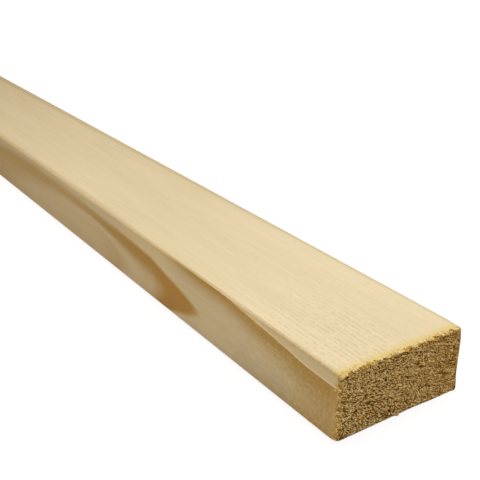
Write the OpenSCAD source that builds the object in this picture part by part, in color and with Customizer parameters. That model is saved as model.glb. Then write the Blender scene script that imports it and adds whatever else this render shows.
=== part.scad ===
// Planed softwood plank: one straight length of timber, lying on its wide face.
// The four faces are planed flat, the long edges are eased, and both ends are cut square.

/* [Plank] */
// Length along the grain, a stock length
plank_length = 1800; // [600:100:4800]
// Finished width of the wide faces
plank_width = 44; // [18:0.5:144]
// Finished thickness, from wide face to wide face
plank_thickness = 20.5; // [12:0.5:47]

/* [Edges] */
// Radius of the eased long edges
arris_radius = 1; // [0.2:0.1:3]

/* [Hidden] */
// Width of the flat part of a wide face, between its two eased edges
wide_flat = plank_width - 2 * arris_radius;
// Height of the flat part of a narrow face, between its two eased edges
narrow_flat = plank_thickness - 2 * arris_radius;
// Facets drawn round each eased edge
$fn = 48;

// The planed section across the grain, standing on its lower wide face
module planed_section() {
    translate([0, plank_thickness / 2]) {
        square([plank_width, narrow_flat], center = true);
        square([wide_flat, plank_thickness], center = true);
        for (side = [-1, 1], face = [-1, 1])
            translate([side * wide_flat / 2, face * narrow_flat / 2])
                circle(r = arris_radius);
    }
}

// The whole plank, its length along X, centred on the origin with its lower face at Z = 0
module plank() {
    color("burlywood")
        translate([-plank_length / 2, 0, 0])
            rotate([90, 0, 90])
                linear_extrude(height = plank_length)
                    planed_section();
}

plank();
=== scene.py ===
import math

import bpy
from mathutils import Matrix, Vector


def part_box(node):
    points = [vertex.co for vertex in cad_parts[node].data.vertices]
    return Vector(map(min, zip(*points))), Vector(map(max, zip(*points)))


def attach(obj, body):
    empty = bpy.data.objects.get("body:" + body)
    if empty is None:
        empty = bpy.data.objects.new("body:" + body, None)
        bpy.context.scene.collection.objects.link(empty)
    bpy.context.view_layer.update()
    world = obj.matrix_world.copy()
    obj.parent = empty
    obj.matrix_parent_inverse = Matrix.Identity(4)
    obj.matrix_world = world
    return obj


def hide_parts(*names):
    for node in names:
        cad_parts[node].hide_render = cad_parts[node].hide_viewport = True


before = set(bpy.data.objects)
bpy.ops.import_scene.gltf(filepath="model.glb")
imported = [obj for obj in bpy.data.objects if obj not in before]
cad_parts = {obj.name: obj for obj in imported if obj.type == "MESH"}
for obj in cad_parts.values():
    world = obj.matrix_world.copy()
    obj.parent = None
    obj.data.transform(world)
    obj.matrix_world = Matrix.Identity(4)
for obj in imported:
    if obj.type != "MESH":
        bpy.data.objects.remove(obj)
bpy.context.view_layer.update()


# The plank is one straight length of softwood, planed on its four long faces with eased edges.
# Both ends are cross-cut with a coarse saw, which leaves torn, open end grain and fluffy fibres.
# Nothing is fixed to it: it is stock that lies on its wide face.
low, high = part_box("plank")
length, width, thickness = high - low
length_mm, width_mm, thickness_mm = [round(side * 1000, 3) for side in (length, width, thickness)]
half_width_mm = width_mm / 2


def hex_colour(code):
    """An sRGB hex value as linear red, green, blue and alpha."""
    parts = [int(code[i:i + 2], 16) / 255 for i in (1, 3, 5)]
    return [c / 12.92 if c <= 0.04045 else ((c + 0.055) / 1.055) ** 2.4 for c in parts] + [1]


def put(tree, kind, feeds=(), **settings):
    """Adds a node with its settings. feeds gives inputs, by name or place, a value or a node to link."""
    node = tree.nodes.new(kind)
    for name, value in settings.items():
        setattr(node, name, value)
    shown = [s for s in node.inputs if s.enabled]
    for key, source in dict(feeds).items():
        socket = shown[key] if isinstance(key, int) else next(s for s in shown if s.name == key)
        if isinstance(source, bpy.types.Node):
            source = next(s for s in source.outputs if s.enabled)
        if isinstance(source, bpy.types.NodeSocket):
            tree.links.new(source, socket)
        else:
            socket.default_value = source
    return node


# Planed softwood, bare: pale early wood and golden-brown late wood in growth rings round a pith that
# lies outside the left edge, so the narrow face shows a tongue of figure and the wide face faint lines.
# It is matt, and the sawn ends look darker and grainy, because their torn pores hold the light.
EARLY = hex_colour("#EAD7AE")
LATE = hex_colour("#C8A25B")
TIP_LATE = hex_colour("#CA9A54")
OUTER_LATE = hex_colour("#CBA45A")
# The next colour is a painted highlight for a ring line near the end
RING_HIGHLIGHT = hex_colour("#FFE8B8")
FAR_TINT = hex_colour("#D0C8BF")
STRIP_TINT = hex_colour("#FBF5E9")
EDGE_TINT = hex_colour("#DFD6CA")
FAR_EDGE_TINT = hex_colour("#E2D7C1")
GOLD_EDGE_TINT = hex_colour("#EFE7C9")
# The next colour is painted shade for the top's right edge
RIGHT_EDGE_SHADE = hex_colour("#F0EDE7")
BRUISE = hex_colour("#E6C878")
RIM = hex_colour("#FFEFBC")
END_DARK = hex_colour("#4E3004")
END_MID = hex_colour("#AA711A")
END_PALE = hex_colour("#FFE6A2")
# The next colour is the rim's gold, brightened as painted highlight
END_RIM_LIT = hex_colour("#FFD874")
CRUMB_GOLD = hex_colour("#D8B468")
CRUMB_PALE = hex_colour("#FFE8B0")

PITH_SQUARED_MM2 = 1460
TONGUE_RING_MM = 36.76
INNER_RING_MM = 1.9
PINCHED_RING_MM = 0.78
WIDE_RING_MM = 2.5
SAP_RING_MM = 1.55

planed_softwood = bpy.data.materials.new("planed_softwood")
planed_softwood.use_nodes = True
wood = planed_softwood.node_tree
wood.nodes.clear()

# Millimetres from the near end, across from the middle and up from the lower face
seat = put(wood, "ShaderNodeTexCoord")
place = put(wood, "ShaderNodeMapping", {"Vector": seat.outputs["Object"], "Scale": (-1000, 1000, 1000),
                                        "Location": (length_mm / 2, 0, 0)})
split = put(wood, "ShaderNodeSeparateXYZ", {0: place})
along = split.outputs["X"]
across = split.outputs["Y"]
up = split.outputs["Z"]
far_gap = put(wood, "ShaderNodeMath", {0: length_mm, 1: along}, operation="SUBTRACT")
end_gap = put(wood, "ShaderNodeMath", {0: along, 1: far_gap}, operation="MINIMUM")
from_left = put(wood, "ShaderNodeMath", {0: across, 1: half_width_mm}, operation="ADD")
from_top = put(wood, "ShaderNodeMath", {0: thickness_mm, 1: up}, operation="SUBTRACT")
left_face = put(wood, "ShaderNodeMapRange", {"Value": from_left, "From Min": 0.6, "From Max": 0.2})

# How the figure changes along the plank: where each change starts and stops, in millimetres from the
# near end, and the value before and after it
change = {}
for name, start, stop, before, after in (
        ("far swell", 260, 460, 0, 420),
        ("pith height", 78, 101, 6.9, 4.0),
        ("ring pinch", 101, 143, INNER_RING_MM, PINCHED_RING_MM),
        ("ring release", 150, 210, 0, INNER_RING_MM - PINCHED_RING_MM),
        ("wide ring start", 0, 20, -0.04, 0.28),
        ("inner ring start", 84, 100, 0.4, 0.05),
        ("inner ring full", 84, 100, 0.8, 0.64),
        ("band strength", 105, 165, 1.0, 0.64),
        ("heart strength", 116, 142, 0.42, 0.1),
        ("inner brown", 128, 155, 0, 0.3),
        ("far brown", 195, 225, 0, 0.16),
        ("wide ring strength", 64, 94, 0.9, 0.03),
        ("wide ring return", 380, 520, 0, 0.7),
        ("tip orange", 82, 104, 1, 0),
        ("far paler", 360, 800, 1.0, 0.35),
        ("edge far", 90, 140, 0, 1)):
    change[name] = put(wood, "ShaderNodeMapRange", {"Value": along, "From Min": start, "From Max": stop,
                       "To Min": before, "To Max": after}, interpolation_type="SMOOTHSTEP")

# Patterns of the wood, with the size of one mark along, across and up in millimetres: the waver of the
# rings, the beads of late wood in the sapwood, fine fibres that are drawn a little coarse so that they
# show, broad cloudy patches and small flecks
pattern = {}
for name, mark_mm, detail, rough in (
        ("waver", (16, 3, 3), 1, 0.5),
        ("bead", (1.1, 1, 1), 1, 0.5),
        ("fibre", (30, 0.9, 0.9), 4, 0.6),
        ("patch", (90, 12, 12), 3, 0.5),
        ("fleck", (2.4, 0.7, 0.7), 1, 0.5)):
    marks = put(wood, "ShaderNodeVectorMath", {0: place, 1: [1 / mm for mm in mark_mm]},
                operation="MULTIPLY")
    pattern[name] = put(wood, "ShaderNodeTexNoise", {"Vector": marks, "Scale": 1.0, "Detail": detail,
                        "Roughness": rough})

# How far the pith lies from the left edge changes along the plank, which opens and closes the tongues.
# The curve says by how much its squared distance shrinks, and further along that wanders over 170 mm.
SWELL_REACH_MM = 450
SWELL_MOST_MM2 = 320
SWELL_LAST_MM2 = 90
WANDER_MM = 170
WANDER_MIDDLE = 0.4
reach = put(wood, "ShaderNodeMapRange", {"Value": along, "From Max": SWELL_REACH_MM})
swell = put(wood, "ShaderNodeFloatCurve", {"Value": reach})
curve = swell.mapping.curves[0]
curve.points[0].location = (0, 0)
curve.points[1].location = (1, SWELL_LAST_MM2 / SWELL_MOST_MM2)
for mm, rise in ((12, 4), (20, 23), (25, 34), (30, 43), (35, 54), (40, 66), (45, 80), (51, 93), (66, 105),
                 (80, 128), (90, 172), (98, 219), (107, 233), (130, 241), (150, 256), (165, 266),
                 (190, 275), (215, 268), (240, 228), (320, 150)):
    curve.points.new(mm / SWELL_REACH_MM, rise / SWELL_MOST_MM2)
swell.mapping.update()
wander_place = put(wood, "ShaderNodeMath", {0: along, 1: 1 / WANDER_MM}, operation="MULTIPLY")
wander = put(wood, "ShaderNodeTexNoise", {"W": wander_place, "Scale": 1.0, "Detail": 1.0},
             noise_dimensions="1D")
swing = put(wood, "ShaderNodeMath", {0: wander, 1: WANDER_MIDDLE}, operation="SUBTRACT")
far_swell = put(wood, "ShaderNodeMath", {0: swing, 1: change["far swell"]}, operation="MULTIPLY")
whole_swell = put(wood, "ShaderNodeMath", {0: swell, 1: SWELL_MOST_MM2, 2: far_swell},
                  operation="MULTIPLY_ADD")
pith_squared = put(wood, "ShaderNodeMath", {0: PITH_SQUARED_MM2, 1: whole_swell}, operation="SUBTRACT")
pith_away = put(wood, "ShaderNodeMath", {0: pith_squared}, operation="SQRT")
pith_across = put(wood, "ShaderNodeMath", {0: from_left, 1: pith_away}, operation="ADD")
pith_up = put(wood, "ShaderNodeMath", {0: up, 1: change["pith height"]}, operation="SUBTRACT")
pith_arm = put(wood, "ShaderNodeCombineXYZ", {0: pith_across, 1: pith_up})
radius = put(wood, "ShaderNodeVectorMath", {0: pith_arm}, operation="LENGTH")

# Rings waver a little, and they are counted from the one that bounds the tongue. They are narrow inside
# it, then wide for one year, then narrow and uneven out in the sapwood. The unevenness sets in over the
# first 4 mm there and changes about every 3 mm.
WAVER_MM = 0.05
INNERMOST_RING = -0.999
UNEVEN_EVERY_MM = 3
UNEVEN_FROM_MM = 4.0
UNEVEN_MOST_MM = 0.8
waver_mm = put(wood, "ShaderNodeMapRange", {"Value": pattern["waver"], "To Min": -WAVER_MM,
               "To Max": WAVER_MM})
wavy = put(wood, "ShaderNodeMath", {0: radius.outputs["Value"], 1: waver_mm}, operation="ADD")
past = put(wood, "ShaderNodeMath", {0: wavy, 1: TONGUE_RING_MM}, operation="SUBTRACT")
inner = put(wood, "ShaderNodeMath", {0: past, 1: 0.0}, operation="MINIMUM")
inner_width = put(wood, "ShaderNodeMath", {0: change["ring pinch"], 1: change["ring release"]},
                  operation="ADD")
inner_years = put(wood, "ShaderNodeMath", {0: inner, 1: inner_width}, operation="DIVIDE")
inner_rings = put(wood, "ShaderNodeMath", {0: inner_years, 1: INNERMOST_RING}, operation="MAXIMUM")
wide_ring = put(wood, "ShaderNodeMapRange", {"Value": past, "From Max": WIDE_RING_MM})
sap = put(wood, "ShaderNodeMath", {0: past, 1: WIDE_RING_MM}, operation="SUBTRACT")
sap_past = put(wood, "ShaderNodeMath", {0: sap, 1: 0.0}, operation="MAXIMUM")
uneven_place = put(wood, "ShaderNodeMath", {0: past, 1: 1 / UNEVEN_EVERY_MM}, operation="MULTIPLY")
uneven = put(wood, "ShaderNodeTexNoise", {"W": uneven_place, "Scale": 1.0, "Detail": 0.0},
             noise_dimensions="1D")
uneven_mm = put(wood, "ShaderNodeMapRange", {"Value": sap_past, "From Max": UNEVEN_FROM_MM,
                "To Max": UNEVEN_MOST_MM})
sap_uneven = put(wood, "ShaderNodeMath", {0: uneven, 1: uneven_mm, 2: sap_past},
                 operation="MULTIPLY_ADD")
sap_rings = put(wood, "ShaderNodeMath", {0: sap_uneven, 1: SAP_RING_MM}, operation="DIVIDE")
heart_rings = put(wood, "ShaderNodeMath", {0: inner_rings, 1: wide_ring}, operation="ADD")
rings = put(wood, "ShaderNodeMath", {0: heart_rings, 1: sap_rings}, operation="ADD")
season = put(wood, "ShaderNodeMath", {0: rings}, operation="FRACT")
ring_number = put(wood, "ShaderNodeMath", {0: rings}, operation="FLOOR")
heart = put(wood, "ShaderNodeMath", {0: rings, 1: 1.0}, operation="LESS_THAN")
past_tongue = put(wood, "ShaderNodeMath", {0: rings, 1: 0.0}, operation="GREATER_THAN")

# Late wood builds up through each ring. In the ring outside the tongue it starts sooner close to the
# near end, and inside the tongue it is short at the tip and longer in the band that runs back from it.
SAP_LATE_START = 0.5
OUTER_LATE_FULL = 0.92
outer_start = put(wood, "ShaderNodeMix", {"Factor": heart, "A": SAP_LATE_START,
                  "B": change["wide ring start"]})
late_start = put(wood, "ShaderNodeMix", {"Factor": past_tongue, "A": change["inner ring start"],
                 "B": outer_start})
late_full = put(wood, "ShaderNodeMix", {"Factor": past_tongue, "A": change["inner ring full"],
                "B": OUTER_LATE_FULL})
late_growth = put(wood, "ShaderNodeMapRange", {"Value": season, "From Min": late_start,
                  "From Max": late_full}, interpolation_type="SMOOTHSTEP")

# It is strong in the tongue and the ring outside it, and further along the whole inside of the tongue is
# brown. It also shows on the right face and the lower face.
RIGHT_LATE = 0.4
LOWER_LATE = 0.3
heart_part = put(wood, "ShaderNodeMapRange", {"Value": inner_years, "From Min": -0.9, "From Max": -1.2},
                 interpolation_type="SMOOTHSTEP")
inner_least = put(wood, "ShaderNodeMath", {0: change["inner brown"], 1: change["far brown"]},
                  operation="ADD")
band_late = put(wood, "ShaderNodeMix", {"Factor": late_growth, "A": inner_least,
                "B": change["band strength"]})
heart_late = put(wood, "ShaderNodeMath", {0: change["heart strength"], 1: change["far brown"]},
                 operation="ADD")
inner_late = put(wood, "ShaderNodeMix", {"Factor": heart_part, "A": band_late, "B": heart_late})
wide_late = put(wood, "ShaderNodeMath", {0: change["wide ring strength"], 1: change["wide ring return"]},
                operation="ADD")
ring_late = put(wood, "ShaderNodeMath", {0: heart, 1: wide_late}, operation="MULTIPLY")
right_edge = put(wood, "ShaderNodeMapRange", {"Value": across, "From Min": half_width_mm - 1,
                 "From Max": half_width_mm, "To Max": RIGHT_LATE}, interpolation_type="SMOOTHSTEP")
lower_face = put(wood, "ShaderNodeMapRange", {"Value": up, "From Min": 1.2, "From Max": 0.0,
                 "To Max": LOWER_LATE}, interpolation_type="SMOOTHSTEP")
hidden_late = put(wood, "ShaderNodeMath", {0: right_edge, 1: lower_face}, operation="MAXIMUM")
strength = put(wood, "ShaderNodeMath", {0: ring_late, 1: hidden_late}, operation="MAXIMUM")
outer_late = put(wood, "ShaderNodeMath", {0: late_growth, 1: strength}, operation="MULTIPLY")
sharp_late = put(wood, "ShaderNodeMix", {"Factor": past_tongue, "A": inner_late, "B": outer_late})

# The tongue's outer side is crisp at its tip and soft further along, and late wood is more orange at the
# tip. The ring outside the tongue has a thin painted highlight near the end, where its late wood stands a
# little proud and catches the light.
in_wide = put(wood, "ShaderNodeMath", {0: ring_number, 1: 0.0, 2: 0.1}, operation="COMPARE")
soft_reach = put(wood, "ShaderNodeMapRange", {"Value": along, "From Min": 66.0, "From Max": 165.0,
                 "To Min": 0.04, "To Max": 0.46})
soft_edge = put(wood, "ShaderNodeMapRange", {"Value": season, "From Min": soft_reach, "From Max": 0.0},
                interpolation_type="SMOOTHSTEP")
soft_here = put(wood, "ShaderNodeMath", {0: soft_edge, 1: in_wide}, operation="MULTIPLY")
soft_late = put(wood, "ShaderNodeMath", {0: soft_here, 1: change["band strength"]}, operation="MULTIPLY")
late = put(wood, "ShaderNodeMath", {0: sharp_late, 1: soft_late}, operation="MAXIMUM")
in_first_sap = put(wood, "ShaderNodeMath", {0: ring_number, 1: 1.0, 2: 0.1}, operation="COMPARE")
line_near = put(wood, "ShaderNodeMapRange", {"Value": along, "From Min": 38.0, "From Max": 62.0,
                "To Min": 0.9, "To Max": 0.0})
first_line = put(wood, "ShaderNodeMath", {0: in_first_sap, 1: line_near}, operation="MULTIPLY")
line_reach = put(wood, "ShaderNodeMapRange", {"Value": along, "From Min": 24.0, "From Max": 40.0,
                 "To Min": 0.17, "To Max": 0.45})
line = put(wood, "ShaderNodeMapRange", {"Value": season, "From Min": line_reach, "From Max": 0.07})
ring_highlight = put(wood, "ShaderNodeMath", {0: line, 1: first_line}, operation="MULTIPLY")
inner_tone = put(wood, "ShaderNodeMix", {"Factor": change["tip orange"], "A": LATE, "B": TIP_LATE},
                 data_type="RGBA")
late_tone = put(wood, "ShaderNodeMix", {"Factor": past_tongue, "A": inner_tone, "B": OUTER_LATE},
                data_type="RGBA")
ringed = put(wood, "ShaderNodeMix", {"Factor": late, "A": EARLY, "B": late_tone}, data_type="RGBA")
# Painted highlight: a thin bright line on the ring outside the tongue, near the end
ring_highlighted = put(wood, "ShaderNodeMix", {"Factor": ring_highlight, "A": ringed, "B": RING_HIGHLIGHT}, data_type="RGBA")

# Stretches of the plank where something shows more: for each its measure and its most, and the
# millimetres where it is nothing and where it is whole, on its near side and on its far side
halo_on = put(wood, "ShaderNodeMath", {0: past_tongue, 1: left_face}, operation="MULTIPLY")
stretch = {}
for name, measure, most, near_side, far_side in (
        ("fleck", end_gap, left_face, (8, 20), (64, 40)),
        ("low_dark", along, left_face, (12, 24), (60, 36)),
        ("halo", along, halo_on, (72, 90), (130, 98)),
        ("gold", along, 1.0, (44, 54), (114, 88))):
    stretch[name] = most
    for nothing, whole in (near_side, far_side):
        stretch[name] = put(wood, "ShaderNodeMapRange", {"Value": measure, "From Min": nothing,
                            "From Max": whole, "To Max": stretch[name]}, interpolation_type="SMOOTHSTEP")

# Fine shade: fibres, patches, dark flecks and pale glints, which are strongest on the left face, and rows
# of faint beads of late wood near the ends of the wide face
fibre_shade = put(wood, "ShaderNodeMapRange", {"Value": pattern["fibre"], "From Min": 0.3, "From Max": 0.7,
                  "To Min": 0.965, "To Max": 1.03})
patch_shade = put(wood, "ShaderNodeMapRange", {"Value": pattern["patch"], "From Min": 0.3, "From Max": 0.7,
                  "To Min": 0.965, "To Max": 1.025})
fleck_most = put(wood, "ShaderNodeMapRange", {"Value": stretch["fleck"], "To Min": 0.975, "To Max": 0.945})
fleck_shade = put(wood, "ShaderNodeMapRange", {"Value": pattern["fleck"], "From Min": 0.58,
                  "From Max": 0.74, "To Min": 1.0, "To Max": fleck_most})
glint_most = put(wood, "ShaderNodeMapRange", {"Value": stretch["fleck"], "To Min": 1.03, "To Max": 1.08})
glint_near = put(wood, "ShaderNodeMapRange", {"Value": end_gap, "From Min": 40.0, "From Max": 75.0,
                 "To Min": glint_most, "To Max": 1.0}, interpolation_type="SMOOTHSTEP")
glint_shade = put(wood, "ShaderNodeMapRange", {"Value": pattern["fleck"], "From Min": 0.44,
                  "From Max": 0.3, "To Min": 1.0, "To Max": glint_near})
bead_part = put(wood, "ShaderNodeMapRange", {"Value": pattern["bead"], "From Min": 0.32, "From Max": 0.68,
                "To Min": -0.4, "To Max": 1.7})
bead_near = put(wood, "ShaderNodeMapRange", {"Value": end_gap, "From Min": 15.0, "From Max": 55.0,
                "To Min": 1.0, "To Max": 0.08}, interpolation_type="SMOOTHSTEP")
bead_left = put(wood, "ShaderNodeMapRange", {"Value": across, "From Min": -6.0, "From Max": 10.0,
                "To Min": 1.0, "To Max": 0.25}, interpolation_type="SMOOTHSTEP")
bead_late = put(wood, "ShaderNodeMath", {0: bead_near, 1: bead_part}, operation="MULTIPLY")
sap_late = put(wood, "ShaderNodeMath", {0: bead_late, 1: bead_left}, operation="MULTIPLY")
bead_row = put(wood, "ShaderNodeMath", {0: late_growth, 1: sap_late}, operation="MULTIPLY")
bead_shade = put(wood, "ShaderNodeMapRange", {"Value": bead_row, "From Min": -1.0, "To Min": 1.13,
                 "To Max": 0.89})
fine = fibre_shade
for shade in (patch_shade, fleck_shade, glint_shade, bead_shade):
    fine = put(wood, "ShaderNodeMath", {0: fine, 1: shade}, operation="MULTIPLY")

# That shade takes more from blue than from red. The left face is also a little darker low down, 25 to
# 50 mm from the end, and paler in a halo above the tip of the tongue.
GREEN_POWER = 1.2
BLUE_POWER = 2.0
fine_green = put(wood, "ShaderNodeMath", {0: fine, 1: GREEN_POWER}, operation="POWER")
fine_blue = put(wood, "ShaderNodeMath", {0: fine, 1: BLUE_POWER}, operation="POWER")
fine_tint = put(wood, "ShaderNodeCombineXYZ", {0: fine, 1: fine_green, 2: fine_blue})
low_dark = put(wood, "ShaderNodeMapRange", {"Value": up, "From Min": 12.0, "From Max": 4.0,
            "To Max": stretch["low_dark"]}, interpolation_type="SMOOTHSTEP")
low_dark_shade = put(wood, "ShaderNodeMapRange", {"Value": low_dark, "To Min": 1.0, "To Max": 0.87})
halo_shade = put(wood, "ShaderNodeMapRange", {"Value": stretch["halo"], "To Min": 1.0, "To Max": 1.09})
face_shade = put(wood, "ShaderNodeMath", {0: low_dark_shade, 1: halo_shade}, operation="MULTIPLY")
face_tint = put(wood, "ShaderNodeVectorMath", {0: fine_tint, "Scale": face_shade}, operation="SCALE")
shaded = put(wood, "ShaderNodeVectorMath", {0: ring_highlighted, 1: face_tint}, operation="MULTIPLY")

# The plank is browner further along, most of all about 330 mm from the near end. The top has a thin dull
# line along its left edge, which broadens further along and is golden where late wood wraps over the
# edge. Along its right edge it has a thin line of painted shade, which adds to the real shade of the
# rounded edge. The strip of the left face below the edge is warm near the end.
TOP_WEIGHT = 8.0
browner = put(wood, "ShaderNodeMapRange", {"Value": along, "From Min": 30.0, "From Max": 330.0,
              "To Max": 0.71})
brownest = put(wood, "ShaderNodeMapRange", {"Value": along, "From Min": 230.0, "From Max": 330.0,
               "To Max": 0.15})
brown = put(wood, "ShaderNodeMath", {0: browner, 1: brownest}, operation="ADD")
far_part = put(wood, "ShaderNodeMath", {0: brown, 1: change["far paler"]}, operation="MULTIPLY")
strip_near = put(wood, "ShaderNodeMapRange", {"Value": change["edge far"], "To Min": left_face,
                 "To Max": 0.0})
strip = put(wood, "ShaderNodeMapRange", {"Value": from_top, "From Min": 3.2, "From Max": 0.4,
            "To Max": strip_near}, interpolation_type="SMOOTHSTEP")
top_only = put(wood, "ShaderNodeMath", {0: from_top, 1: TOP_WEIGHT}, operation="MULTIPLY")
edge_gap = put(wood, "ShaderNodeMath", {0: from_left, 1: top_only}, operation="MAXIMUM")
edge_from = put(wood, "ShaderNodeMapRange", {"Value": change["edge far"], "To Min": 1.2, "To Max": 3.2})
edge_part = put(wood, "ShaderNodeMapRange", {"Value": edge_gap, "From Min": edge_from, "From Max": 0.0})
edge_tint = put(wood, "ShaderNodeMix", {"Factor": change["edge far"], "A": EDGE_TINT, "B": FAR_EDGE_TINT},
                data_type="RGBA")
gold_part = put(wood, "ShaderNodeMapRange", {"Value": edge_gap, "From Min": 0.9, "From Max": 0.0,
                "To Max": stretch["gold"]})
# Painted shade along the right edge of the top, broader further along
right_shade_from, right_shade_to = [
    put(wood, "ShaderNodeMapRange", {"Value": along, "From Min": 40.0, "From Max": 300.0,
        "To Min": half_width_mm - near_mm, "To Max": half_width_mm - far_mm})
    for near_mm, far_mm in ((2.2, 5.4), (1.0, 3.2))]
right_edge_shade = put(wood, "ShaderNodeMapRange", {"Value": across, "From Min": right_shade_from, "From Max": right_shade_to},
                interpolation_type="SMOOTHSTEP")
planed = shaded
for part, tint in ((far_part, FAR_TINT), (strip, STRIP_TINT), (edge_part, edge_tint),
                   (gold_part, GOLD_EDGE_TINT), (right_edge_shade, RIGHT_EDGE_SHADE)):
    planed = put(wood, "ShaderNodeMix", {"Factor": part, "A": planed, "B": tint}, data_type="RGBA",
                 blend_type="MULTIPLY")

# The last 4 mm of the wide face before each cut are bruised to a warm yellow, with a ragged bright rim,
# and the rim of the left face has nicks, painted dark as shade in their hollows
BRUISE_LUMPS_PER_MM = 0.7
RIM_LUMPS_PER_MM = 1.2
bruise_noise = put(wood, "ShaderNodeTexNoise", {"Vector": place, "Scale": BRUISE_LUMPS_PER_MM,
                   "Detail": 3.0})
bruise_gap = put(wood, "ShaderNodeMath", {0: bruise_noise, 1: 2.0, 2: end_gap}, operation="MULTIPLY_ADD")
top_part = put(wood, "ShaderNodeMapRange", {"Value": from_top, "From Min": 1.3, "From Max": 0.2,
               "To Min": 0.15, "To Max": 0.9}, interpolation_type="SMOOTHSTEP")
bruise = put(wood, "ShaderNodeMapRange", {"Value": bruise_gap, "From Min": 5.0, "From Max": 1.4,
             "To Max": top_part}, interpolation_type="SMOOTHSTEP")
rim_noise = put(wood, "ShaderNodeTexNoise", {"Vector": place, "Scale": RIM_LUMPS_PER_MM, "Detail": 2.0})
rim_gap = put(wood, "ShaderNodeMath", {0: rim_noise, 1: 2.4, 2: end_gap}, operation="MULTIPLY_ADD")
rim_glint = put(wood, "ShaderNodeMapRange", {"Value": rim_gap, "From Min": 1.8, "From Max": 1.2,
                "To Max": 0.85})
rim_lumps = put(wood, "ShaderNodeMapRange", {"Value": rim_noise, "From Min": 0.44, "From Max": 0.53})
# Painted shade in the hollows between the rim's lumps
hollow_shade = put(wood, "ShaderNodeMapRange", {"Value": rim_lumps, "To Min": 0.62, "To Max": 0.0})
nick_near = put(wood, "ShaderNodeMapRange", {"Value": end_gap, "From Min": 0.9, "From Max": 0.3,
                "To Max": left_face})
nick_shade = put(wood, "ShaderNodeMath", {0: hollow_shade, 1: nick_near}, operation="MULTIPLY")
rimmed = planed
for part, colour in ((bruise, BRUISE), (rim_glint, RIM), (nick_shade, END_MID)):
    rimmed = put(wood, "ShaderNodeMix", {"Factor": part, "A": rimmed, "B": colour}, data_type="RGBA")

# Torn end grain: bundles of fibre, 0.46 mm along the saw's lines and 0.2 mm across them, each pale or
# dark on its own, and painted darker in the pits as shade. The right half is calmer. The rim is golden at
# the top and the left, its lumps painted brighter as highlight where they catch the light, with hollows
# on the left painted dark as shade, and its crumbs are gold or pale.
SAW_SLOPE = math.radians(18)
BUNDLE_MM = (0.5, 0.46, 0.2)
CALM_FROM_MM = -6
CALM_TO_MM = 16
RIM_INNER_MM = 1.6
RIM_OUTER_MM = 0.5
sawn, pit, splinter = [
    put(wood, "ShaderNodeAttribute", attribute_name=mark).outputs["Fac"]
    for mark in ("sawn", "pit", "splinter")]
bundle_turn = put(wood, "ShaderNodeVectorRotate", {"Vector": place, "Axis": (1, 0, 0), "Angle": SAW_SLOPE},
                  rotation_type="AXIS_ANGLE")
bundle_place = put(wood, "ShaderNodeVectorMath", {0: bundle_turn, 1: [1 / mm for mm in BUNDLE_MM]},
                   operation="MULTIPLY")
bundle = put(wood, "ShaderNodeTexVoronoi", {"Vector": bundle_place, "Scale": 1.0})
bundle_tone = put(wood, "ShaderNodeSeparateColor", {0: bundle.outputs["Color"]})
bundle_part = put(wood, "ShaderNodeMapRange", {"Value": across, "From Min": CALM_FROM_MM,
                  "From Max": CALM_TO_MM, "To Min": 0.68, "To Max": 0.56})
# Painted shade: the end tone is darker where the pit is deeper
pit_shaded_tone = put(wood, "ShaderNodeMath", {0: 0.95, 1: pit}, operation="SUBTRACT")
end_value = put(wood, "ShaderNodeMix", {"Factor": bundle_part, "A": pit_shaded_tone, "B": bundle_tone})
end_calm = put(wood, "ShaderNodeMapRange", {"Value": across, "From Min": CALM_FROM_MM,
               "From Max": CALM_TO_MM, "To Max": 0.36})
end_level = put(wood, "ShaderNodeMix", {"Factor": end_calm, "A": end_value, "B": 0.5})
end_tone = put(wood, "ShaderNodeValToRGB", {0: end_level})
end_ramp = end_tone.color_ramp
end_ramp.elements[0].position = 0.26
end_ramp.elements[0].color = END_DARK
end_ramp.elements[1].position = 0.65
end_ramp.elements[1].color = END_PALE
middle = end_ramp.elements.new(0.47)
middle.color = END_MID
top_rim, left_rim = [
    put(wood, "ShaderNodeMapRange", {"Value": gap, "From Min": RIM_INNER_MM, "From Max": RIM_OUTER_MM,
        "To Max": 0.95}) for gap in (from_top, from_left)]
rim_most = put(wood, "ShaderNodeMath", {0: top_rim, 1: left_rim}, operation="MAXIMUM")
# Painted highlight: the rim's lumps are golden and brighter where they catch the light
rim_gold_lit = put(wood, "ShaderNodeMath", {0: rim_most, 1: rim_lumps}, operation="MULTIPLY")
left_hollow_shade = put(wood, "ShaderNodeMath", {0: hollow_shade, 1: left_rim}, operation="MULTIPLY")
crumb_part = put(wood, "ShaderNodeMapRange", {"Value": splinter, "From Max": 0.5})
crumb_pale = put(wood, "ShaderNodeMapRange", {"Value": splinter, "From Min": 0.5, "From Max": 1.5})
crumb_tone = put(wood, "ShaderNodeMix", {"Factor": crumb_pale, "A": CRUMB_GOLD, "B": CRUMB_PALE},
                 data_type="RGBA")
torn = end_tone
for part, colour in ((left_hollow_shade, END_DARK), (rim_gold_lit, END_RIM_LIT), (crumb_part, crumb_tone)):
    torn = put(wood, "ShaderNodeMix", {"Factor": part, "A": torn, "B": colour}, data_type="RGBA")
surface = put(wood, "ShaderNodeMix", {"Factor": sawn, "A": rimmed, "B": torn}, data_type="RGBA")

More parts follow.
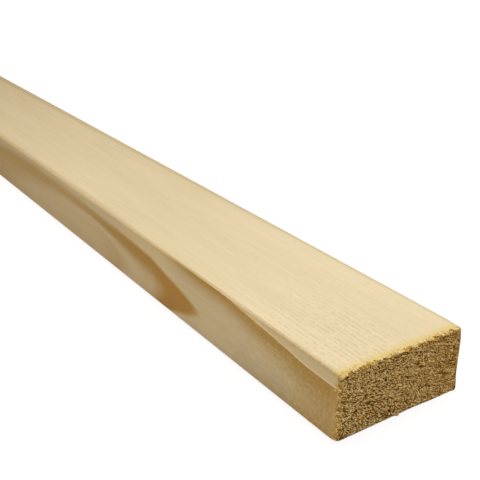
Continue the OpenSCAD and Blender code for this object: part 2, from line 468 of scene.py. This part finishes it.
# Relief too fine for the mesh, in metres: grooves between fibres, late wood that stands a little proud
# near the end, and the grit of the bundles on the cut
GROOVE_DEPTH = 0.00006
RIDGE_HEIGHT = 0.0003
GRIT_HEIGHT = 0.0002
groove = put(wood, "ShaderNodeMapRange", {"Value": pattern["fibre"], "To Max": GROOVE_DEPTH})
ridge_near = put(wood, "ShaderNodeMath", {0: late, 1: line_near}, operation="MULTIPLY")
ridge = put(wood, "ShaderNodeMath", {0: ridge_near, 1: RIDGE_HEIGHT, 2: groove}, operation="MULTIPLY_ADD")
grit = put(wood, "ShaderNodeMapRange", {"Value": bundle.outputs["Distance"], "To Min": GRIT_HEIGHT,
           "To Max": 0.0})
height = put(wood, "ShaderNodeMix", {"Factor": sawn, "A": ridge, "B": grit})
grain_bump = put(wood, "ShaderNodeBump", {"Strength": 1.0, "Distance": 1.0, "Height": height})
roughness = put(wood, "ShaderNodeMapRange", {"Value": sawn, "To Min": 0.6, "To Max": 0.9})
bare = put(wood, "ShaderNodeBsdfPrincipled", {"Base Color": surface, "Roughness": roughness, "IOR": 1.5,
           "Specular IOR Level": 0.05, "Normal": grain_bump})
put(wood, "ShaderNodeOutputMaterial", {"Surface": bare})

# The mesh: a cross-section that is rounded at its four edges and drawn out along the grain, in metres
plank_tree = bpy.data.node_groups.new("planed_plank", "GeometryNodeTree")
plank_tree.interface.new_socket("Geometry", in_out="OUTPUT", socket_type="NodeSocketGeometry")
plank_inputs = {}
for name, kind, value in (
        ("Length", "NodeSocketFloat", length),
        ("Width", "NodeSocketFloat", width),
        ("Thickness", "NodeSocketFloat", thickness),
        ("Upper Left Edge Radius", "NodeSocketFloat", 0.0005),
        ("Upper Right Edge Radius", "NodeSocketFloat", 0.0009),
        ("Lower Left Edge Radius", "NodeSocketFloat", 0.001),
        ("Lower Right Edge Radius", "NodeSocketFloat", 0.0005),
        ("Cells Along", "NodeSocketInt", 80),
        ("Cells Across", "NodeSocketInt", 184),
        ("Cells Up", "NodeSocketInt", 86),
        ("Saw Depth", "NodeSocketFloat", 0.0006),
        ("Saw Reach", "NodeSocketFloat", 0.003),
        ("Rim Tear Depth", "NodeSocketFloat", 0.0009),
        ("Rim Tear Width", "NodeSocketFloat", 0.0014),
        ("Rim Burr", "NodeSocketFloat", 0.0006),
        ("Rim Burr Width", "NodeSocketFloat", 0.0007),
        ("Lower Rim Depth", "NodeSocketFloat", 0.0004),
        ("Bundle Density", "NodeSocketFloat", 0.3e6),
        ("Crumb Density", "NodeSocketFloat", 1.2e7),
        ("Crumb Reach", "NodeSocketFloat", 0.0009),
        ("Splinter Length", "NodeSocketFloat", 0.001),
        ("Splinter Radius", "NodeSocketFloat", 0.00026),
        ("Seed", "NodeSocketInt", 7),
        ("Wood", "NodeSocketMaterial", planed_softwood)):
    made = plank_tree.interface.new_socket(name, in_out="INPUT", socket_type=kind)
    plank_inputs[made.identifier] = value
size = put(plank_tree, "NodeGroupInput").outputs

half_length, half_width, half_thickness = [
    put(plank_tree, "ShaderNodeMath", {0: size[side], 1: 0.5}, operation="MULTIPLY")
    for side in ("Length", "Width", "Thickness")]
blank_size = put(plank_tree, "ShaderNodeCombineXYZ", {0: size["Length"], 1: size["Width"],
                 2: size["Thickness"]})
blank = put(plank_tree, "GeometryNodeMeshCube", {"Size": blank_size, "Vertices X": size["Cells Along"],
            "Vertices Y": size["Cells Across"], "Vertices Z": size["Cells Up"]})

point = put(plank_tree, "GeometryNodeInputPosition")
point_x, point_y, point_z = put(plank_tree, "ShaderNodeSeparateXYZ", {0: point}).outputs
share = put(plank_tree, "ShaderNodeMath", {0: point_x, 1: half_length}, operation="DIVIDE")
share_size = put(plank_tree, "ShaderNodeMath", {0: share}, operation="ABSOLUTE")
which_end = put(plank_tree, "ShaderNodeMath", {0: share}, operation="SIGN")
end_share = put(plank_tree, "ShaderNodeMath", {0: 1.0, 1: share_size}, operation="SUBTRACT")
on_end = put(plank_tree, "ShaderNodeMath", {0: share_size, 1: 0.9999}, operation="GREATER_THAN")

# Stations lie close together at the ends and far apart in the middle
CROWDING = 2.5
back_share = put(plank_tree, "ShaderNodeMath", {0: end_share, 1: CROWDING}, operation="POWER")
back = put(plank_tree, "ShaderNodeMath", {0: back_share, 1: half_length}, operation="MULTIPLY")
reach_out = put(plank_tree, "ShaderNodeMath", {0: half_length, 1: back}, operation="SUBTRACT")

# Eased edges: the outer millimetre of the square section is drawn in to an arc, which differs from edge
# to edge
upper_half = put(plank_tree, "ShaderNodeMath", {0: point_z, 1: 0.0}, operation="GREATER_THAN")
left_half = put(plank_tree, "ShaderNodeMath", {0: point_y, 1: 0.0}, operation="LESS_THAN")
lower_radius, upper_radius = [
    put(plank_tree, "ShaderNodeMix", {"Factor": left_half, "A": size[level + " Right Edge Radius"],
        "B": size[level + " Left Edge Radius"]}) for level in ("Lower", "Upper")]
edge_radius = put(plank_tree, "ShaderNodeMix", {"Factor": upper_half, "A": lower_radius, "B": upper_radius})
flat = put(plank_tree, "ShaderNodeCombineXYZ", {1: half_width, 2: half_thickness})
ease = put(plank_tree, "ShaderNodeCombineXYZ", {1: edge_radius, 2: edge_radius})
flat_high = put(plank_tree, "ShaderNodeVectorMath", {0: flat, 1: ease}, operation="SUBTRACT")
flat_low = put(plank_tree, "ShaderNodeVectorMath", {0: flat_high, "Scale": -1.0}, operation="SCALE")
capped = put(plank_tree, "ShaderNodeVectorMath", {0: point, 1: flat_high}, operation="MINIMUM")
core = put(plank_tree, "ShaderNodeVectorMath", {0: capped, 1: flat_low}, operation="MAXIMUM")
section = put(plank_tree, "ShaderNodeCombineXYZ", {1: point_y, 2: point_z})
past_core = put(plank_tree, "ShaderNodeVectorMath", {0: section, 1: core}, operation="SUBTRACT")
past_size = put(plank_tree, "ShaderNodeVectorMath", {0: past_core}, operation="ABSOLUTE")
past_split = put(plank_tree, "ShaderNodeSeparateXYZ", {0: past_size})
past_most = put(plank_tree, "ShaderNodeMath", {0: past_split.outputs["Y"], 1: past_split.outputs["Z"]},
                operation="MAXIMUM")
past_way = put(plank_tree, "ShaderNodeVectorMath", {0: past_core}, operation="NORMALIZE")
past_arc = put(plank_tree, "ShaderNodeVectorMath", {0: past_way, "Scale": past_most}, operation="SCALE")
eased = put(plank_tree, "ShaderNodeVectorMath", {0: core, 1: past_arc}, operation="ADD")

# Saw cut: pits 0.7 mm long and 0.35 mm wide, and furrows 7 mm long and 0.6 mm wide, all along the saw's
# lines, which slope down to the right. They are deepest on the end itself, with more furrows to the right.
section_mm = put(plank_tree, "ShaderNodeVectorMath", {0: eased, "Scale": 1000.0}, operation="SCALE")
turned = put(plank_tree, "ShaderNodeVectorRotate", {"Vector": section_mm, "Axis": (1, 0, 0),
             "Angle": SAW_SLOPE}, rotation_type="AXIS_ANGLE")
saw_noise = {}
for name, mark_mm in (("pit", (1, 0.7, 0.35)), ("furrow", (1, 7, 0.6))):
    marks = put(plank_tree, "ShaderNodeVectorMath", {0: turned, 1: [1 / mm for mm in mark_mm]},
                operation="MULTIPLY")
    saw_noise[name] = put(plank_tree, "ShaderNodeTexNoise", {"Vector": marks, "W": which_end, "Scale": 1.0,
                          "Detail": 1.0}, noise_dimensions="4D")
furrow_part = put(plank_tree, "ShaderNodeMapRange", {"Value": point_y, "From Min": -0.02,
                  "From Max": 0.016, "To Min": 0.45, "To Max": 0.7})
cut_mix = put(plank_tree, "ShaderNodeMix", {"Factor": furrow_part, "A": saw_noise["pit"],
              "B": saw_noise["furrow"]})
cut_depth = put(plank_tree, "ShaderNodeMapRange", {"Value": cut_mix, "From Min": 0.65, "From Max": 0.3})
fade = put(plank_tree, "ShaderNodeMapRange", {"Value": back, "From Max": size["Saw Reach"], "To Min": 1.0,
           "To Max": 0.0}, interpolation_type="SMOOTHSTEP")
cut_pit = put(plank_tree, "ShaderNodeMath", {0: cut_depth, 1: size["Saw Depth"]}, operation="MULTIPLY")

# The rim of the cut is torn at the top and the left: notches 1.2 mm wide bite into it, and burrs stand
# out between them. The rest is crisp, with a slight ease at the bottom.
NOTCH_MM = 1.2
CLEAR_OF_RIM = 1.0
eased_size = put(plank_tree, "ShaderNodeVectorMath", {0: eased}, operation="ABSOLUTE")
eased_gap = put(plank_tree, "ShaderNodeVectorMath", {0: flat, 1: eased_size}, operation="SUBTRACT")
_, side_gap, level_gap = put(plank_tree, "ShaderNodeSeparateXYZ", {0: eased_gap}).outputs
eased_rim = put(plank_tree, "ShaderNodeMath", {0: side_gap, 1: level_gap}, operation="MINIMUM")
crisp = put(plank_tree, "ShaderNodeMapRange", {"Value": eased_rim, "From Max": 0.0008, "To Min": 0.3})
left_gap = put(plank_tree, "ShaderNodeMix", {"Factor": left_half, "A": CLEAR_OF_RIM, "B": side_gap})
top_gap = put(plank_tree, "ShaderNodeMix", {"Factor": upper_half, "A": CLEAR_OF_RIM, "B": level_gap})
low_gap = put(plank_tree, "ShaderNodeMix", {"Factor": upper_half, "A": level_gap, "B": CLEAR_OF_RIM})
torn_gap = put(plank_tree, "ShaderNodeMath", {0: left_gap, 1: top_gap}, operation="MINIMUM")
tear_part = put(plank_tree, "ShaderNodeMapRange", {"Value": torn_gap, "From Max": size["Rim Tear Width"],
                "To Min": 1.0, "To Max": 0.0}, interpolation_type="SMOOTHSTEP")
tear_noise = put(plank_tree, "ShaderNodeTexNoise", {"Vector": section_mm, "W": which_end,
                 "Scale": 1 / NOTCH_MM, "Detail": 2.0}, noise_dimensions="4D")
tear = put(plank_tree, "ShaderNodeMapRange", {"Value": tear_noise, "From Min": 0.46, "From Max": 0.7,
           "To Max": size["Rim Tear Depth"]})
cut_crisp = put(plank_tree, "ShaderNodeMath", {0: cut_pit, 1: crisp}, operation="MULTIPLY")
cut_tear = put(plank_tree, "ShaderNodeMath", {0: tear, 1: tear_part, 2: cut_crisp},
               operation="MULTIPLY_ADD")
low_depth = put(plank_tree, "ShaderNodeMapRange", {"Value": point_y, "From Min": 0.006, "From Max": 0.014,
                "To Min": size["Lower Rim Depth"], "To Max": 0.0})
low_ease = put(plank_tree, "ShaderNodeMapRange", {"Value": low_gap, "From Max": 0.0009,
               "To Min": low_depth, "To Max": 0.0})
cut_low = put(plank_tree, "ShaderNodeMath", {0: cut_tear, 1: low_ease}, operation="ADD")
burr_part = put(plank_tree, "ShaderNodeMapRange", {"Value": torn_gap, "From Max": size["Rim Burr Width"],
                "To Min": size["Rim Burr"], "To Max": 0.0}, interpolation_type="SMOOTHSTEP")
burr = put(plank_tree, "ShaderNodeMapRange", {"Value": tear_noise, "From Min": 0.5, "From Max": 0.4,
           "To Max": burr_part})
cut_burr = put(plank_tree, "ShaderNodeMath", {0: cut_low, 1: burr}, operation="SUBTRACT")
cut_in = put(plank_tree, "ShaderNodeMath", {0: cut_burr, 1: fade}, operation="MULTIPLY")
cut_reach = put(plank_tree, "ShaderNodeMath", {0: reach_out, 1: cut_in}, operation="SUBTRACT")

# Two slivers stay on the lower edge of the near end: middle and half width of each in millimetres, and
# length in metres
lower_mm = put(plank_tree, "ShaderNodeMath", {0: level_gap, 1: 1000.0}, operation="MULTIPLY")
across_mm = put(plank_tree, "ShaderNodeMath", {0: point_y, 1: 1000.0}, operation="MULTIPLY")
near_end = put(plank_tree, "ShaderNodeMath", {0: which_end, 1: 0.0}, operation="MAXIMUM")
near_low = put(plank_tree, "ShaderNodeMath", {0: 1.0, 1: upper_half}, operation="SUBTRACT")
near_edge = put(plank_tree, "ShaderNodeMath", {0: near_end, 1: near_low}, operation="MULTIPLY")
near_fade = put(plank_tree, "ShaderNodeMath", {0: near_edge, 1: fade}, operation="MULTIPLY")
for middle_mm, half_mm, sliver_length in ((0.0, 1.2, 0.0005), (21.2, 1.0, 0.0003)):
    sliver_side = put(plank_tree, "ShaderNodeMath", {0: across_mm, 1: middle_mm}, operation="SUBTRACT")
    sliver_share = put(plank_tree, "ShaderNodeMath", {0: sliver_side, 1: half_mm}, operation="DIVIDE")
    sliver_arm = put(plank_tree, "ShaderNodeCombineXYZ", {0: sliver_share, 1: lower_mm})
    sliver_gap = put(plank_tree, "ShaderNodeVectorMath", {0: sliver_arm}, operation="LENGTH")
    sliver = put(plank_tree, "ShaderNodeMapRange", {"Value": sliver_gap.outputs["Value"],
                 "To Min": sliver_length, "To Max": 0.0}, interpolation_type="SMOOTHSTEP")
    cut_reach = put(plank_tree, "ShaderNodeMath", {0: sliver, 1: near_fade, 2: cut_reach},
                    operation="MULTIPLY_ADD")
cut_x = put(plank_tree, "ShaderNodeMath", {0: cut_reach, 1: which_end}, operation="MULTIPLY")
cut_end = put(plank_tree, "ShaderNodeCombineXYZ", {0: cut_x})
shaped = put(plank_tree, "ShaderNodeVectorMath", {0: eased, 1: cut_end}, operation="ADD")

# The corners of the near end: two are knocked in and two are pushed out by the saw. For each, the half
# it lies on across and up, how far the change reaches, and the move, both in metres.
half_size = put(plank_tree, "ShaderNodeCombineXYZ", {0: half_length, 1: half_width, 2: half_thickness})
knocked = shaped
for across_side, up_side, knock_reach, move in (
        (1, 1, 0.005, (-0.0001, -0.0004, 0)),
        (-1, -1, 0.0022, (-0.0003, 0.0002, 0.0003)),
        (1, -1, 0.006, (0, 0.0006, 0)),
        (-1, 1, 0.0028, (0.0006, -0.0001, 0.0001))):
    knock_at = put(plank_tree, "ShaderNodeVectorMath", {0: half_size, 1: (1, across_side, up_side)},
                   operation="MULTIPLY")
    knock_gap = put(plank_tree, "ShaderNodeVectorMath", {0: shaped, 1: knock_at}, operation="DISTANCE")
    knock = put(plank_tree, "ShaderNodeMapRange", {"Value": knock_gap.outputs["Value"],
                "From Max": knock_reach, "To Min": 1.0, "To Max": 0.0}, interpolation_type="SMOOTHSTEP")
    knock_way = put(plank_tree, "ShaderNodeVectorMath", {0: move, "Scale": knock}, operation="SCALE")
    knocked = put(plank_tree, "ShaderNodeVectorMath", {0: knocked, 1: knock_way}, operation="ADD")
lift = put(plank_tree, "ShaderNodeCombineXYZ", {2: half_thickness})
lifted = put(plank_tree, "ShaderNodeVectorMath", {0: knocked, 1: lift}, operation="ADD")

# The cut is marked for the finish, with the depth of its pits for their painted shade. It has hard
# facets, and the long faces are smooth.
marked = blank
for name, value in (("sawn", on_end), ("pit", cut_depth)):
    marked = put(plank_tree, "GeometryNodeStoreNamedAttribute", {"Geometry": marked, "Name": name,
                 "Value": value}, data_type="FLOAT", domain="POINT")
body = put(plank_tree, "GeometryNodeSetPosition", {"Geometry": marked, "Position": lifted})
end_mark = put(plank_tree, "GeometryNodeInputNamedAttribute", {"Name": "sawn"}, data_type="FLOAT")
end_only = put(plank_tree, "ShaderNodeMath", {0: end_mark, 1: 0.99}, operation="GREATER_THAN")
long_only = put(plank_tree, "ShaderNodeMath", {0: 1.0, 1: end_only}, operation="SUBTRACT")
smooth = put(plank_tree, "GeometryNodeSetShadeSmooth", {"Geometry": body, "Shade Smooth": long_only})

# Splinters: thin bundles of fibre stand out of both ends, and crumbs of torn wood lie along the rim of
# the cut on the top and the left edge, where the saw broke out. None hangs below the plank.
rim_point = put(plank_tree, "GeometryNodeInputPosition")
rim_x, rim_y, rim_z = put(plank_tree, "ShaderNodeSeparateXYZ", {0: rim_point}).outputs
face_normal = put(plank_tree, "GeometryNodeInputNormal")
face_way = put(plank_tree, "ShaderNodeSeparateXYZ", {0: face_normal})
left_way = put(plank_tree, "ShaderNodeMath", {0: face_way.outputs["Y"], 1: -1.0}, operation="MULTIPLY")
out_way = put(plank_tree, "ShaderNodeMath", {0: left_way, 1: face_way.outputs["Z"]}, operation="MAXIMUM")
broke_out = put(plank_tree, "ShaderNodeMapRange", {"Value": out_way, "From Min": 0.4, "From Max": 0.7})
rim_x_size = put(plank_tree, "ShaderNodeMath", {0: rim_x}, operation="ABSOLUTE")
rim_back = put(plank_tree, "ShaderNodeMath", {0: half_length, 1: rim_x_size}, operation="SUBTRACT")
rim_near = put(plank_tree, "ShaderNodeMapRange", {"Value": rim_back, "From Max": size["Crumb Reach"],
               "To Min": 1.0, "To Max": 0.0})
off_right = put(plank_tree, "ShaderNodeMapRange", {"Value": rim_y, "From Min": 0.0205, "From Max": 0.019})
left_out = put(plank_tree, "ShaderNodeMath", {0: broke_out, 1: off_right}, operation="MULTIPLY")
rim_part = put(plank_tree, "ShaderNodeMath", {0: rim_near, 1: left_out}, operation="MULTIPLY")
rim_y_size = put(plank_tree, "ShaderNodeMath", {0: rim_y}, operation="ABSOLUTE")
rim_across = put(plank_tree, "ShaderNodeMath", {0: half_width, 1: rim_y_size}, operation="SUBTRACT")
rim_level = put(plank_tree, "ShaderNodeMath", {0: rim_z, 1: half_thickness}, operation="SUBTRACT")
rim_level_size = put(plank_tree, "ShaderNodeMath", {0: rim_level}, operation="ABSOLUTE")
rim_up = put(plank_tree, "ShaderNodeMath", {0: half_thickness, 1: rim_level_size}, operation="SUBTRACT")
rim_in = put(plank_tree, "ShaderNodeMath", {0: rim_across, 1: rim_up}, operation="MINIMUM")
off_rim = put(plank_tree, "ShaderNodeMapRange", {"Value": rim_in, "From Min": 0.0003, "From Max": 0.0006})
bundles_end = put(plank_tree, "ShaderNodeMath", {0: end_only, 1: size["Bundle Density"]},
                  operation="MULTIPLY")
bundles_here = put(plank_tree, "ShaderNodeMath", {0: bundles_end, 1: off_rim}, operation="MULTIPLY")
density = put(plank_tree, "ShaderNodeMath", {0: rim_part, 1: size["Crumb Density"], 2: bundles_here},
              operation="MULTIPLY_ADD")
off_floor = put(plank_tree, "ShaderNodeMapRange", {"Value": rim_z, "From Min": 0.0006, "From Max": 0.001})
density_here = put(plank_tree, "ShaderNodeMath", {0: density, 1: off_floor}, operation="MULTIPLY")
roots = put(plank_tree, "GeometryNodeDistributePointsOnFaces", {"Mesh": smooth, "Density": density_here,
            "Seed": size["Seed"]})
root_way = roots.outputs["Normal"]
root_split = put(plank_tree, "ShaderNodeSeparateXYZ", {0: root_way})
root_x = put(plank_tree, "ShaderNodeMath", {0: root_split.outputs["X"]}, operation="ABSOLUTE")
on_face = put(plank_tree, "ShaderNodeMath", {0: root_x, 1: 0.3}, operation="LESS_THAN")
on_cut = put(plank_tree, "ShaderNodeMath", {0: 1.0, 1: on_face}, operation="SUBTRACT")
tone = put(plank_tree, "FunctionNodeRandomValue", {"Min": 0.5, "Max": 1.5, "Seed": size["Seed"]},
           data_type="FLOAT")
root_top = put(plank_tree, "ShaderNodeMapRange", {"Value": root_split.outputs["Z"], "From Min": 0.3,
               "From Max": 0.7, "To Min": 0.8, "To Max": 1.0})
face_tone = put(plank_tree, "ShaderNodeMath", {0: on_face, 1: root_top}, operation="MULTIPLY")
rim_tone = put(plank_tree, "ShaderNodeMath", {0: tone, 1: face_tone}, operation="MULTIPLY")
rooted = roots
for name, value in (("splinter", rim_tone), ("sawn", 1.0), ("pit", 0.0)):
    rooted = put(plank_tree, "GeometryNodeStoreNamedAttribute", {"Geometry": rooted, "Name": name,
                 "Value": value}, data_type="FLOAT", domain="POINT")

# A bundle is a thin cone that leans out of the cut, and a crumb a small uneven lump
SWAY = 0.25
LEAN = 0.2
sway = put(plank_tree, "FunctionNodeRandomValue", {"Min": [-SWAY] * 3, "Max": [SWAY] * 3,
           "Seed": size["Seed"]}, data_type="FLOAT_VECTOR")
end_side = put(plank_tree, "ShaderNodeMath", {0: rim_x}, operation="SIGN")
end_way = put(plank_tree, "ShaderNodeCombineXYZ", {0: end_side})
lean = put(plank_tree, "ShaderNodeVectorMath", {0: root_way, 1: [LEAN] * 3, 2: end_way},
           operation="MULTIPLY_ADD")
sway_out = put(plank_tree, "ShaderNodeVectorMath", {0: lean, 1: sway}, operation="ADD")
stand = put(plank_tree, "FunctionNodeAlignRotationToVector", {"Vector": sway_out}, axis="Z")
thick = put(plank_tree, "FunctionNodeRandomValue", {"Min": 0.35, "Max": 0.7, "Seed": size["Seed"]},
            data_type="FLOAT")
cone = put(plank_tree, "GeometryNodeMeshCone", {"Vertices": 5, "Side Segments": 1, "Radius Top": 0.0,
           "Radius Bottom": size["Splinter Radius"], "Depth": size["Splinter Length"]}, fill_type="NGON")
bundles = put(plank_tree, "GeometryNodeInstanceOnPoints", {"Points": rooted, "Selection": on_cut,
              "Instance": cone, "Rotation": stand, "Scale": thick})
lump = put(plank_tree, "GeometryNodeMeshIcoSphere", {"Radius": size["Splinter Radius"], "Subdivisions": 1})
lump_size = put(plank_tree, "FunctionNodeRandomValue", {"Min": (0.8, 0.6, 0.5), "Max": (1.8, 1.2, 1.0),
                "Seed": size["Seed"]}, data_type="FLOAT_VECTOR")
crumbs = put(plank_tree, "GeometryNodeInstanceOnPoints", {"Points": rooted, "Selection": on_face,
             "Instance": lump, "Rotation": sway, "Scale": lump_size})
joined = put(plank_tree, "GeometryNodeJoinGeometry")
for part in (smooth, bundles, crumbs):
    plank_tree.links.new(part.outputs[0], joined.inputs[0])
real = put(plank_tree, "GeometryNodeRealizeInstances", {"Geometry": joined})
painted = put(plank_tree, "GeometryNodeSetMaterial", {"Geometry": real, "Material": size["Wood"]})
put(plank_tree, "NodeGroupOutput", {0: painted})

plank = bpy.data.objects.new("planed_plank", bpy.data.meshes.new("planed_plank"))
bpy.context.scene.collection.objects.link(plank)
shaper = plank.modifiers.new("shape", "NODES")
shaper.node_group = plank_tree
for identifier, value in plank_inputs.items():
    shaper[identifier] = value
shape = plank.evaluated_get(bpy.context.evaluated_depsgraph_get())
plank.data = bpy.data.meshes.new_from_object(shape)
plank.modifiers.remove(shaper)
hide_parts("plank")
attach(plank, "root")


# The floor is a plain pale studio sweep, wide enough to fill every view, just below the plank. It shows
# white to the eye and still takes the plank's soft shadow, and it throws a warm light back at the plank.
FLOOR_HALF = 30
FLOOR_DROP = 0.0002
FLOOR_GLOW = 0.85
FLOOR_WARM = hex_colour("#CDBEA5")
FLOOR_SEEN = hex_colour("#7C7C7C")

floor = bpy.data.objects.new("floor", bpy.data.meshes.new("floor"))
floor_corners = [(x * FLOOR_HALF, y * FLOOR_HALF, 0) for x, y in ((-1, -1), (1, -1), (1, 1), (-1, 1))]
floor.data.from_pydata(floor_corners, [], [(0, 1, 2, 3)])
floor.location.z = -FLOOR_DROP
bpy.context.scene.collection.objects.link(floor)

pale_paper = bpy.data.materials.new("pale_paper")
pale_paper.use_nodes = True
paper = pale_paper.node_tree
paper.nodes.clear()
ray = put(paper, "ShaderNodeLightPath").outputs
seen = put(paper, "ShaderNodeMath", {0: ray["Is Camera Ray"], 1: ray["Is Glossy Ray"]}, operation="MAXIMUM")
seen_all = put(paper, "ShaderNodeMath", {0: seen, 1: ray["Is Transmission Ray"]}, operation="MAXIMUM")
glow_level = put(paper, "ShaderNodeMath", {0: seen_all, 1: FLOOR_GLOW}, operation="MULTIPLY")
glow = put(paper, "ShaderNodeEmission", {"Color": (1, 1, 1, 1), "Strength": glow_level})
matt_tone = put(paper, "ShaderNodeMix", {"Factor": seen_all, "A": FLOOR_WARM, "B": FLOOR_SEEN},
                data_type="RGBA")
matt = put(paper, "ShaderNodeBsdfDiffuse", {"Color": matt_tone})
both = put(paper, "ShaderNodeAddShader", {0: glow, 1: matt})
put(paper, "ShaderNodeOutputMaterial", {"Surface": both})
floor.data.materials.append(pale_paper)


# Soft studio light: an even sky for fill, which shows white to the eye, and one broad lamp straight
# above the plank.
SKY_FILL = 0.3
SKY_SEEN = 1.0
LAMP_STRENGTH = 0.72 * math.pi
LAMP_SPREAD = math.radians(70)

sky = bpy.data.worlds.new("studio_sky")
sky.use_nodes = True
bpy.context.scene.world = sky
air = sky.node_tree
air.nodes.clear()
sky_ray = put(air, "ShaderNodeLightPath").outputs
sky_seen = put(air, "ShaderNodeMath", {0: sky_ray["Is Camera Ray"], 1: sky_ray["Is Transmission Ray"]},
               operation="MAXIMUM")
sky_level = put(air, "ShaderNodeMapRange", {"Value": sky_seen, "To Min": SKY_FILL, "To Max": SKY_SEEN})
sky_glow = put(air, "ShaderNodeBackground", {"Color": (1, 1, 1, 1), "Strength": sky_level})
put(air, "ShaderNodeOutputWorld", {"Surface": sky_glow})

lamp = bpy.data.objects.new("overhead_lamp", bpy.data.lights.new("overhead_lamp", "SUN"))
lamp.data.energy = LAMP_STRENGTH
lamp.data.angle = LAMP_SPREAD
bpy.context.scene.collection.objects.link(lamp)


# The camera stands to the left of the near end and looks down along the plank. It is held almost level,
# and its lens is a short telephoto.
LENS_MM = 61.79
SENSOR_MM = 36
CAMERA_AT = Vector((1.0249, -0.1404, 0.1319))
HEADING, DOWN, ROLL = math.radians(144.88), math.radians(23.93), math.radians(-0.9)

ahead = Vector((math.cos(HEADING) * math.cos(DOWN), math.sin(HEADING) * math.cos(DOWN), -math.sin(DOWN)))
right = Vector((math.sin(HEADING), -math.cos(HEADING), 0))
below = ahead.cross(right)
tilted_right = math.cos(ROLL) * right + math.sin(ROLL) * below
tilted_below = math.cos(ROLL) * below - math.sin(ROLL) * right
camera = bpy.data.objects.new("camera", bpy.data.cameras.new("camera"))
camera.data.lens = LENS_MM
camera.data.sensor_width = SENSOR_MM
camera.data.clip_start = 0.01
camera.matrix_world = Matrix.Translation(CAMERA_AT) @ Matrix(
    (tilted_right, -tilted_below, -ahead)).transposed().to_4x4()
bpy.context.scene.collection.objects.link(camera)
bpy.context.scene.camera = camera
bpy.context.scene.view_settings.view_transform = "Standard"
